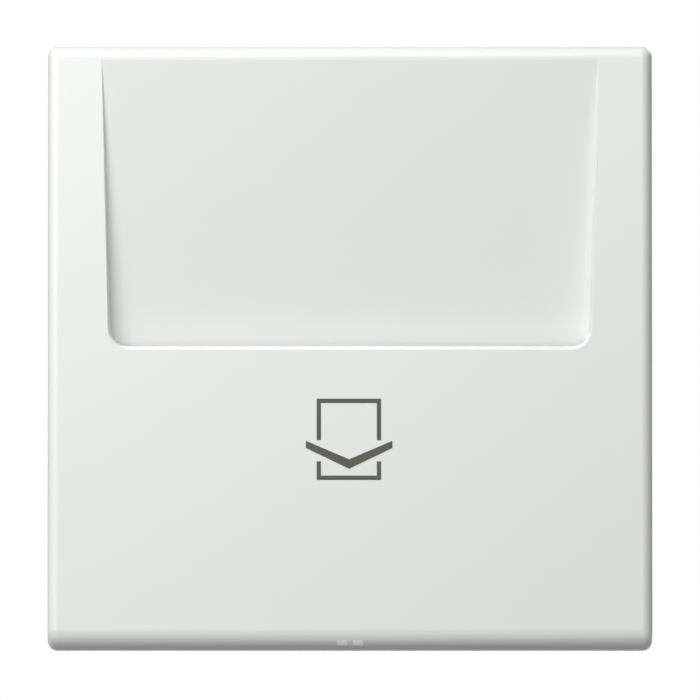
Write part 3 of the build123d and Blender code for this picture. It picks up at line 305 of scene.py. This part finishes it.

# %% [markdown]
# ## Clear pieces and the circuit board
#
# The light guide is milky moulded plastic: mostly white, with some light passing through it and a
# slightly wavy skin. A faint glow is painted into it: emission that makes the guide look lit,
# though it is no lamp and the diode gives no light. The diode's resin is clearer. The board's
# green lacquer lets the glass weave below show through as a fine grid, made of two stripe patterns
# at right angles.

# %% Clear and laminate finishes
def clear_plastic(name, tint, roughness, share_passing, painted_glow):
    """A milky plastic that passes a share of the light and may carry a faint painted glow."""
    finish = Finish(
        name,
        Base_Color=tint,
        Roughness=roughness,
        IOR=1.58,
        Transmission_Weight=share_passing,
        # The emission is a painted glow that makes the piece look lit. It is not light from a
        # lamp.
        Emission_Color=(1.0, 1.0, 0.96, 1.0),
        Emission_Strength=painted_glow,
    )
    finish.feed(Normal=finish.bump(finish.noise(0.8 * mm, 2.0), 0.004 * mm))
    finish.feed(Roughness=finish.noise(1.5 * mm, 2.0) * 0.06 + (roughness - 0.03))
    return finish


def board_lacquer():
    """Green lacquer over a woven glass laminate."""
    finish = Finish("green_board_lacquer", Roughness=0.30, IOR=1.52)
    warp = finish.noise(0.35 * mm, 0.0, 0.5, finish.stretched(1.0, 1.0, 0.05))
    weft = finish.noise(0.35 * mm, 0.0, 0.5, finish.stretched(0.05, 1.0, 1.0))
    weave = finish.band(warp * weft, 0.15, 0.4)
    finish.feed(
        Base_Color=finish.blend(weave, (0.012, 0.085, 0.030, 1.0), (0.030, 0.145, 0.055, 1.0))
    )
    finish.feed(Roughness=weave * 0.12 + 0.24)
    finish.feed(Normal=finish.bump(weave, 0.003 * mm))
    return finish


# The light guide carries a faint painted glow of 0.09: emission that makes it look lit.
finishes["clear_plastic"] = clear_plastic(
    "milky_guide_plastic", (0.97, 0.99, 0.95, 1.0), 0.16, 0.10, 0.09
)
finishes["lamp_resin"] = clear_plastic(
    "milky_diode_resin", (0.86, 0.94, 0.86, 1.0), 0.34, 0.8, 0.0
)
finishes["board_laminate"] = board_lacquer()
print("clear pieces and board ready")

# %% [markdown]
# ## Giving the solids their surfaces
#
# A CAD solid arrives as loose triangles with perfectly sharp corners. A moulded or punched piece
# never has those: a tiny round on each edge catches the light and makes it look solid. A shader
# could fake that round, but the outline would stay sharp, so the edges are really rounded. Each
# piece is copied, its triangles are merged and flat faces joined again, and its sharp edges are
# bevelled by about a tenth of a millimetre. The copy then takes the solid's place.

# %% Softening the edges
def merged_copy(node):
    """A bmesh of a CAD solid with its doubles merged and its flat faces in one piece each."""
    shape = bmesh.new()
    shape.from_mesh(frame["nodes"][node].data)
    bmesh.ops.remove_doubles(shape, verts=shape.verts, dist=0.0005 * mm)
    bmesh.ops.dissolve_limit(
        shape,
        angle_limit=math.radians(0.4),
        use_dissolve_boundaries=False,
        verts=shape.verts,
        edges=shape.edges,
        delimit={"NORMAL"},
    )
    return shape


def new_piece(name, shape, finish, body, smooth=32.0):
    """Turns a bmesh into a piece with a finish, which rides on its body if it has one."""
    mesh = bpy.data.meshes.new(name)
    shape.to_mesh(mesh)
    shape.free()
    mesh.shade_smooth()
    mesh.set_sharp_from_angle(angle=math.radians(smooth))
    piece = bpy.data.objects.new(name, mesh)
    bpy.context.scene.collection.objects.link(piece)
    mesh.materials.append(finish.material)
    if body:
        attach(piece, body)
    return piece


def round_edges(piece, width, angle=34.0, segments=2):
    """A Bevel modifier on the sharp edges, with normals that keep the flat faces flat."""
    bevel = piece.modifiers.new("rounded_edges", "BEVEL")
    bevel.width = width
    bevel.segments = segments
    bevel.limit_method = "ANGLE"
    bevel.angle_limit = math.radians(angle)
    bevel.use_clamp_overlap = True
    bevel.harden_normals = True
    bevel.miter_outer = "MITER_ARC"


slots = {row["node"]: row["material_slot"] for row in frame["record"]["subparts"]}
bodies = frame["record"]["behaviour"]["bodies"]
body_of_node = {node: body for body, members in bodies.items() for node in members}


def dress(node, name, width):
    """Replaces a CAD node by its softened copy."""
    slot = slots[node]
    piece = new_piece(name, merged_copy(node), finishes[slot], body_of_node[node])
    round_edges(piece, width)
    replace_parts(piece, node)


softened = {
    "card_guide": ("card_guide_moulding", 0.08 * mm),
    "card_lever": ("feeler_lever", 0.15 * mm),
    "support_plate": ("punched_plate", 0.08 * mm),
    "insert_lid": ("insert_front_moulding", 0.10 * mm),
    "insert_base": ("insert_housing", 0.12 * mm),
    "push_key": ("rocking_key", 0.15 * mm),
    "contact_plunger": ("plunger_moulding", 0.10 * mm),
    "contact_bridge": ("bridge_strip", 0.06 * mm),
    "line_contact": ("line_busbar", 0.08 * mm),
    "load_contact": ("load_busbar", 0.08 * mm),
    "line_release_button": ("line_release_key", 0.15 * mm),
    "load_release_button": ("load_release_key", 0.15 * mm),
    "lamp_holder": ("lamp_foot", 0.10 * mm),
    "lamp_board": ("lamp_circuit_board", 0.05 * mm),
    "lamp_blades": ("plug_blades", 0.10 * mm),
    "light_guide": ("light_pipe", 0.04 * mm),
    "claw_left": ("left_claw", 0.10 * mm),
    "claw_right": ("right_claw", 0.10 * mm),
    "claw_nut_left": ("left_barrel_nut", 0.12 * mm),
    "claw_nut_right": ("right_barrel_nut", 0.12 * mm),
    "claw_pins": ("claw_hinge_pins", 0.12 * mm),
    "lever_pin": ("lever_hinge_pin", 0.12 * mm),
    "key_pin": ("key_hinge_pin", 0.12 * mm),
    "bridge_tips": ("moving_silver_tips", 0.15 * mm),
    "fixed_tips": ("fixed_silver_tips", 0.15 * mm),
    "guide_screws": ("guide_screw_set", 0.10 * mm),
    "insert_screws": ("insert_screw_set", 0.10 * mm),
}
for node, (name, width) in softened.items():
    dress(node, name, width)
print("softened", len(softened), "nodes")

# %% [markdown]
# ## The springs
#
# The key and the plunger shorten their coil springs, and each release button bends two leaf
# springs: their straight legs stay in the housing, and their slanted tongues go forward with the
# button's fingers. Here each coil is copied onto its body with a mesh of its own, and the share of
# its length that it keeps at full travel is worked out from its joint. Each pair of leaf springs
# is copied with rounded edges and stays as it is in CAD.

# %% Coil and leaf springs
joints = {row["name"]: row for row in frame["record"]["behaviour"]["joints"]}


def coil(node, name, joint, travel):
    """A copy of a coil spring, and the share of its length kept when the joint's travel shortens
    it towards its rear seat.
    """
    seat_y = joints[joint]["deforming_nodes"][0]["fixed_end_y_m"]
    shape = merged_copy(node)
    front_y = min(vertex.co.y for vertex in shape.verts)
    keep = (seat_y - front_y - travel) / (seat_y - front_y)
    slot = slots[node]
    piece = new_piece(name, shape, finishes[slot], body_of_node[node], 60.0)
    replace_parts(piece, node)
    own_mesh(piece)
    return keep


def leaf(node, name):
    """A copy of two leaf springs between the housing and a release button, with rounded edges."""
    slot = slots[node]
    piece = new_piece(name, merged_copy(node), finishes[slot], None)
    round_edges(piece, 0.04 * mm)
    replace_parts(piece, node)
    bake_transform(piece)


# The key turns about its pin, so its spring also tilts a little: key_tilt allows for that.
key_spring_z, key_tilt = -17.5 * mm, 0.12 * mm
key_arm = joints["key_hinge"]["pos_m"][2] - key_spring_z
key_swing = math.radians(joints["key_hinge"]["range_deg"][1])
key_travel = key_arm * math.sin(key_swing) + key_tilt
plunger_travel = joints["plunger_slide"]["range_m"][1]
kept = [
    coil("key_spring", "key_return_coil", "key_hinge", key_travel),
    coil("contact_spring", "plunger_coil", "plunger_slide", plunger_travel),
]
leaf("line_clamp_springs", "line_leaf_springs")
leaf("load_clamp_springs", "load_leaf_springs")
print("coils keep", [round(share, 2) for share in kept], "of their length")

# %% [markdown]
# ## Threads on the claw screws
#
# The CAD screws are plain rods. A bump pattern could suggest their thread, but the outline would
# stay straight, so each rod's skin gives way to a modelled one: rings of points whose radius
# rises and falls once every half millimetre. From each point of a ring to the next the rise comes
# a little earlier along the screw, so that the crests climb in a helix.

# %% Claw screws
def threaded_screw(node, name, centre_x):
    """A copy of a claw screw whose plain rod gives way to a helical thread."""
    slot = slots[node]
    shape = merged_copy(node)
    centre = Vector((centre_x, 0, 0))
    radius, pitch, depth = 1.5 * mm, 0.5 * mm, 0.28 * mm
    margin, below_head, run_out = 0.02 * mm, 0.1 * mm, 0.5 * mm
    around, rows_a_turn = 28, 8
    outside = [v for v in shape.verts if (v.co - centre).xz.length > radius + margin]
    start = max(v.co.y for v in outside)
    tip = max(v.co.y for v in shape.verts)
    skin = [
        face for face in shape.faces
        if all((v.co - centre).xz.length < radius + margin for v in face.verts)
        and max(v.co.y for v in face.verts) > start + below_head
    ]
    bmesh.ops.delete(shape, geom=skin, context="FACES")
    rows = round((tip - start) / pitch * rows_a_turn)
    rings = []
    for row in range(rows + 1):
        y = start + (tip - start) * row / rows
        fade = min(1.0, (tip - y) / run_out)
        ring = []
        for step in range(around):
            turn = step / around
            wave = abs(2 * ((y / pitch + turn) % 1.0) - 1)
            reach = radius - depth * (1 - fade * wave)
            angle = 2 * math.pi * turn
            place = (centre_x + reach * math.cos(angle), y, reach * math.sin(angle))
            ring.append(shape.verts.new(place))
        rings.append(ring)
    for low, high in zip(rings, rings[1:]):
        for step in range(around):
            after = (step + 1) % around
            shape.faces.new((low[step], low[after], high[after], high[step]))
    shape.faces.new(list(reversed(rings[-1])))
    bmesh.ops.recalc_face_normals(shape, faces=shape.faces)
    piece = new_piece(name, shape, finishes[slot], body_of_node[node], 50.0)
    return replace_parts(piece, node)


for side in ("left", "right"):
    centre_x = joints[f"claw_screw_{side}_turn"]["pos_m"][0]
    screw = threaded_screw(f"claw_screw_{side}", f"{side}_claw_screw", centre_x)
    print(screw.name, "has", len(screw.data.polygons), "faces")

# %% [markdown]
# ## Moulded marks on the housing's rear
#
# The rear of such an insert tells the fitter how to wire it, with a gauge as long as the wire's
# bared end and an arrow towards each release button. It also bears four round prints of the
# ejector pins that pushed the housing out of its mould. All are raised by a tenth or two of a
# millimetre. Bump patterns would stay flat seen from the side, so they are low prisms rooted in
# the rear wall, in the housing's own plastic.

# %% Rear marks
rear_y, root = 27.0 * mm, 0.05 * mm


def bar(x_low, x_high, z_low, z_high):
    """The four corners of a bar that lies level or stands upright."""
    return [(x_low, z_low), (x_high, z_low), (x_high, z_high), (x_low, z_high)]


def raised(shape, corners, height):
    """Adds a low prism to the rear wall. The corners of its outline are in millimetres."""
    base = [shape.verts.new((x * mm, rear_y - root, z * mm)) for x, z in corners]
    lifted = bmesh.ops.extrude_face_region(shape, geom=[shape.faces.new(base)])
    tops = [item for item in lifted["geom"] if isinstance(item, bmesh.types.BMVert)]
    bmesh.ops.translate(shape, verts=tops, vec=(0, height + root, 0))


def raised_ring(shape, x, z, outer, inner, height, steps=40):
    """Adds a flat ring, one short prism after another round its centre."""
    turns = [2 * math.pi * step / steps for step in range(steps)]
    rays = [(math.cos(turn), math.sin(turn)) for turn in turns]
    for (c0, s0), (c1, s1) in zip(rays, rays[1:] + rays[:1]):
        corners = [
            (x + inner * c0, z + inner * s0),
            (x + outer * c0, z + outer * s0),
            (x + outer * c1, z + outer * s1),
            (x + inner * c1, z + inner * s1),
        ]
        raised(shape, corners, height)


rear = bmesh.new()
gauge_half, gauge_rise, stroke = 5.5, 1.3, 0.35
inner_rise = gauge_rise - stroke
arrow_half, arrow_foot, arrow_tip = 1.1, 9.4, 11.4
ring_x, ring_z, ring_outer, ring_inner = 13.5, 11.0, 1.6, 1.4
mark_height, ring_height = 0.2 * mm, 0.1 * mm
for low, high in ((-gauge_rise, -inner_rise), (inner_rise, gauge_rise)):
    raised(rear, bar(-gauge_half, gauge_half, low, high), mark_height)
for left in (-gauge_half, gauge_half - stroke):
    raised(rear, bar(left, left + stroke, -inner_rise, inner_rise), mark_height)
for up in (1, -1):
    tip, foot = up * arrow_tip, up * arrow_foot
    raised(rear, [(-arrow_half, foot), (arrow_half, foot), (0.0, tip)], mark_height)
    for x in (-ring_x, ring_x):
        raised_ring(rear, x, up * ring_z, ring_outer, ring_inner, ring_height)
bmesh.ops.remove_doubles(rear, verts=rear.verts, dist=0.0001 * mm)
bmesh.ops.recalc_face_normals(rear, faces=rear.faces)
marks = new_piece("rear_wiring_marks", rear, finishes["insert_plastic"], "switch")
print("rear marks have", len(marks.data.polygons), "faces")

# %% [markdown]
# ## Pieces that keep their own mesh
#
# The cover and the diode are round already where they need to be, and their normals come exactly
# from CAD, so they keep their own mesh and only get a finish.

# %% Pieces that keep their CAD mesh
for node in ("front_cover", "lamp"):
    mesh = frame["nodes"][node].data
    mesh.materials.clear()
    mesh.materials.append(finishes[slots[node]].material)
print("kept: the cover and the diode")

# %% [markdown]
# ## The print on the cover
#
# A small dark sign is pad-printed under the card rest. A picture laid over the cover would blur
# up close. Print is a film of ink a few hundredths of a millimetre thick, so it is built as that:
# flat outlines on the sloping face, given a thickness. The sign is the outline of a card, crossed
# by a bent arrow that points down, the way the card goes.

# %% Printed pictogram
cover_height, wedge, top_depth = 70.0, 4.0, 13.4
face_slope = wedge / cover_height
face_depth_at_zero = top_depth + wedge / 2


def on_face(x, z, proud):
    """A point on the cover's face, given by its place in the front view, in millimetres."""
    depth = face_depth_at_zero - z * face_slope + proud
    return Vector((x * mm, -depth * mm, z * mm))


def inked_shape(shape, corners, thickness=0.03, sunk=0.02):
    """Adds a flat printed patch with the given corners, as thick as a film of ink."""
    low = [shape.verts.new(on_face(x, z, -sunk)) for x, z in corners]
    face = shape.faces.new(low)
    lifted = bmesh.ops.extrude_face_region(shape, geom=[face])
    tops = [item for item in lifted["geom"] if isinstance(item, bmesh.types.BMVert)]
    rise = on_face(0, 0, thickness) - on_face(0, 0, -sunk)
    bmesh.ops.translate(shape, verts=tops, vec=rise)


# Places in the front view, in millimetres.
line = 0.50
card_left, card_right = -3.86, 3.60
card_top, card_bottom = -5.79, -15.19
gap_top, gap_bottom = -10.60, -13.04
arrow_left, arrow_middle, arrow_right = -5.11, -0.10, 4.91
wing_top, wing_bottom = -10.66, -11.50
bend_top, bend_bottom = -12.80, -13.90
arrow = [
    (arrow_left, wing_top),
    (arrow_middle, bend_top),
    (arrow_right, wing_top),
    (arrow_right, wing_bottom),
    (arrow_middle, bend_bottom),
    (arrow_left, wing_bottom),
]
print_shape = bmesh.new()
bars = [
    bar(card_left, card_right, card_top - line, card_top),
    bar(card_left, card_left + line, gap_top, card_top - line),
    bar(card_right - line, card_right, gap_top, card_top - line),
    bar(card_left, card_left + line, card_bottom + line, gap_bottom),
    bar(card_right - line, card_right, card_bottom + line, gap_bottom),
    bar(card_left, card_right, card_bottom, card_bottom + line),
]
for corners in bars + [arrow]:
    inked_shape(print_shape, corners)
bmesh.ops.remove_doubles(print_shape, verts=print_shape.verts, dist=0.0001 * mm)
bmesh.ops.recalc_face_normals(print_shape, faces=print_shape.faces)
ink = Finish("dark_print_ink", Roughness=0.55, IOR=1.45)
speckle = ink.noise(0.10 * mm, 3.0, 0.7)
ink.feed(Base_Color=ink.blend(speckle, (0.066, 0.066, 0.047, 1.0), (0.088, 0.088, 0.066, 1.0)))
ink.feed(Roughness=speckle * 0.2 + 0.45)
pictogram = new_piece("printed_pictogram", print_shape, ink, "switch", 20.0)
print("pictogram has", len(pictogram.data.polygons), "faces")

# %% [markdown]
# ## Surroundings
#
# The object is lit like a catalogue photograph, in paper-white surroundings that fill in the
# shadows. Glossy rays see a brighter card on the left and above and a dark one on the right and
# below, so the left and top edges gleam and the right and bottom edges fade. What lies behind the
# object reflects dimly. The camera itself sees plain white. Real cards would get in its way from
# some sides, so the world's nodes work out a brightness from the direction of each ray instead.

# %% World helpers
def tree_of(owner):
    """The emptied node tree of a world or material."""
    owner.use_nodes = True
    owner.node_tree.nodes.clear()
    return owner.node_tree


def joined(tree, kind, first, second):
    """One maths node over two sockets or numbers."""
    node = tree.nodes.new("ShaderNodeMath")
    node.operation = kind
    for socket, value in zip(node.inputs, (first, second)):
        if isinstance(value, bpy.types.NodeSocket):
            tree.links.new(value, socket)
        else:
            socket.default_value = value
    return node.outputs[0]


def leaning(tree, level, lean):
    """A strength that grows from its level towards one direction and never falls below zero."""
    direction = tree.nodes.new("ShaderNodeTexCoord")
    share = tree.nodes.new("ShaderNodeVectorMath")
    share.operation = "DOT_PRODUCT"
    share.inputs[1].default_value = lean
    tree.links.new(direction.outputs["Generated"], share.inputs[0])
    return joined(tree, "MAXIMUM", joined(tree, "ADD", share.outputs["Value"], level), 0.0)


def seen_directly(tree):
    """1 for rays from the camera and for those that a gloss or glass sends on."""
    rays = tree.nodes.new("ShaderNodeLightPath")
    total = rays.outputs["Is Camera Ray"]
    for name in ("Is Glossy Ray", "Is Transmission Ray"):
        total = joined(tree, "MAXIMUM", total, rays.outputs[name])
    return total


def backdrop(tree, colour, strength):
    """Even light of one colour from every side, at the given strength."""
    node = tree.nodes.new("ShaderNodeBackground")
    node.inputs["Color"].default_value = colour
    tree.links.new(strength, node.inputs["Strength"])
    return node.outputs[0]


def either(tree, share, first, second):
    """Mixes two shaders."""
    choice = tree.nodes.new("ShaderNodeMixShader")
    for socket, value in zip(choice.inputs, (share, first, second)):
        tree.links.new(value, socket)
    return choice.outputs[0]


print("world helpers ready")

# %% World
world = bpy.data.worlds.new("paper_white_surroundings")
bpy.context.scene.world = world
tree = tree_of(world)
white, cool_white = (1.0, 1.0, 1.0, 1.0), (0.97, 0.99, 1.0, 1.0)
fill_lean, card_lean = (-0.12, -0.20, 0.27), (-1.8, 0.0, 0.7)
front_lean, no_lean = (0.0, -0.6, 0.0), (0.0, 0.0, 0.0)
soft = backdrop(tree, cool_white, leaning(tree, 0.38, fill_lean))
card_light = joined(
    tree, "MULTIPLY", leaning(tree, 1.0, card_lean), leaning(tree, 0.7, front_lean)
)
cards = backdrop(tree, white, card_light)
paper_white = backdrop(tree, white, leaning(tree, 1.0, no_lean))
rays = tree.nodes.new("ShaderNodeLightPath")
sent_on = either(tree, rays.outputs["Is Glossy Ray"], soft, cards)
straight = joined(
    tree, "MAXIMUM", rays.outputs["Is Camera Ray"], rays.outputs["Is Transmission Ray"]
)
seen = either(tree, straight, sent_on, paper_white)
tree.links.new(seen, tree.nodes.new("ShaderNodeOutputWorld").inputs["Surface"])
print("world:", world.name)

# %% [markdown]
# ## A paper floor
#
# A pale sheet of paper lies 100 mm below the middle of the cover. The camera and the object's
# gloss see it almost white. Other rays find it dark, so that it doesn't brighten the object from
# below, as real paper would. Its underside lets every ray through, for views from down there.

# %% Floor
floor_height, floor_reach = -100 * mm, 1.9
floor_shape = bmesh.new()
bmesh.ops.create_grid(floor_shape, x_segments=1, y_segments=1, size=floor_reach)
bmesh.ops.translate(floor_shape, verts=floor_shape.verts, vec=(0, 0, floor_height))
floor_mesh = bpy.data.meshes.new("studio_floor")
floor_shape.to_mesh(floor_mesh)
floor_shape.free()
floor = bpy.data.objects.new("studio_floor", floor_mesh)
bpy.context.scene.collection.objects.link(floor)
paper = bpy.data.materials.new("pale_paper")
tree = tree_of(paper)
seen = tree.nodes.new("ShaderNodeAddShader")
for socket, kind, value in ((0, "ShaderNodeBsdfDiffuse", 0.60), (1, "ShaderNodeEmission", 0.66)):
    part = tree.nodes.new(kind)
    part.inputs["Color"].default_value = (value, value, value, 1.0)
    tree.links.new(part.outputs[0], seen.inputs[socket])
bounced = tree.nodes.new("ShaderNodeBsdfDiffuse")
bounced.inputs["Color"].default_value = (0.08, 0.08, 0.08, 1.0)
shown = either(tree, seen_directly(tree), bounced.outputs[0], seen.outputs[0])
side = tree.nodes.new("ShaderNodeNewGeometry")
from_below = tree.nodes.new("ShaderNodeBsdfTransparent")
one_sided = either(tree, side.outputs["Backfacing"], shown, from_below.outputs[0])
tree.links.new(one_sided, tree.nodes.new("ShaderNodeOutputMaterial").inputs["Surface"])
floor_mesh.materials.append(paper)
floor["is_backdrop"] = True
print("floor at", round(floor_height / mm), "mm")

# %% [markdown]
# ## Lamps
#
# One large soft lamp hangs high on the left, close to the object, and makes the face a little
# brighter there. A second one behind it serves the views of the rear. Both are discs, because
# the reflection of a square lamp would have corners.

# %% Lamps
def soft_lamp(name, place, target, size, power, gleam):
    """A round soft lamp; gleam is the share of it that shows in glossy surfaces."""
    data = bpy.data.lights.new(name, "AREA")
    data.specular_factor = gleam
    data.shape = "DISK"
    data.size = size
    data.energy = power
    lamp = bpy.data.objects.new(name, data)
    bpy.context.scene.collection.objects.link(lamp)
    lamp.location = place
    lamp.rotation_euler = (Vector(target) - Vector(place)).to_track_quat("-Z", "Y").to_euler()


soft_lamp("key_light", (-0.13, -0.28, 0.19), (0, 0, 0), 0.30, 0.97, 0.5)
soft_lamp("rear_light", (0.9, 1.1, 0.8), (0, 0, 0), 0.8, 6.0, 1.0)
print("lamps placed")

# %% [markdown]
# ## The camera
#
# The photograph is almost without perspective: the cover looks only a quarter of a percent wider
# at the bottom, where its face stands 4 mm further forward. A camera without any perspective
# would lose even that, so a long lens looks from 1.6 m away, level with the middle. Its focal
# length then follows from how many millimetres the frame spans at the cover.

# %% Camera
camera_distance = 1.616
camera_height = -0.16 * mm
frame_width = 81.20 * mm
frame_plane = 12.3 * mm
sensor = 36.0
camera_data = bpy.data.cameras.new("long_lens")
camera_data.sensor_width = sensor
camera_data.lens = sensor * (camera_distance - frame_plane) / frame_width
camera_data.clip_start = 0.1
camera_data.clip_end = 50.0
camera = bpy.data.objects.new("camera", camera_data)
bpy.context.scene.collection.objects.link(camera)
camera.location = (0.0, -camera_distance, camera_height)
camera.rotation_euler = (math.radians(90), 0, 0)
bpy.context.scene.camera = camera
bpy.context.scene.view_settings.view_transform = "Standard"
print("lens", round(camera_data.lens, 1), "mm")

# %% [markdown]
# ## A last look at the sizes
#
# Rounded edges and print must not change how large the object is, so the box of everything
# shown is measured and printed.

# %% Sizes of what is shown
low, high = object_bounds()
print("visual box in mm", [round((b - a) / mm, 2) for a, b in zip(low, high)])
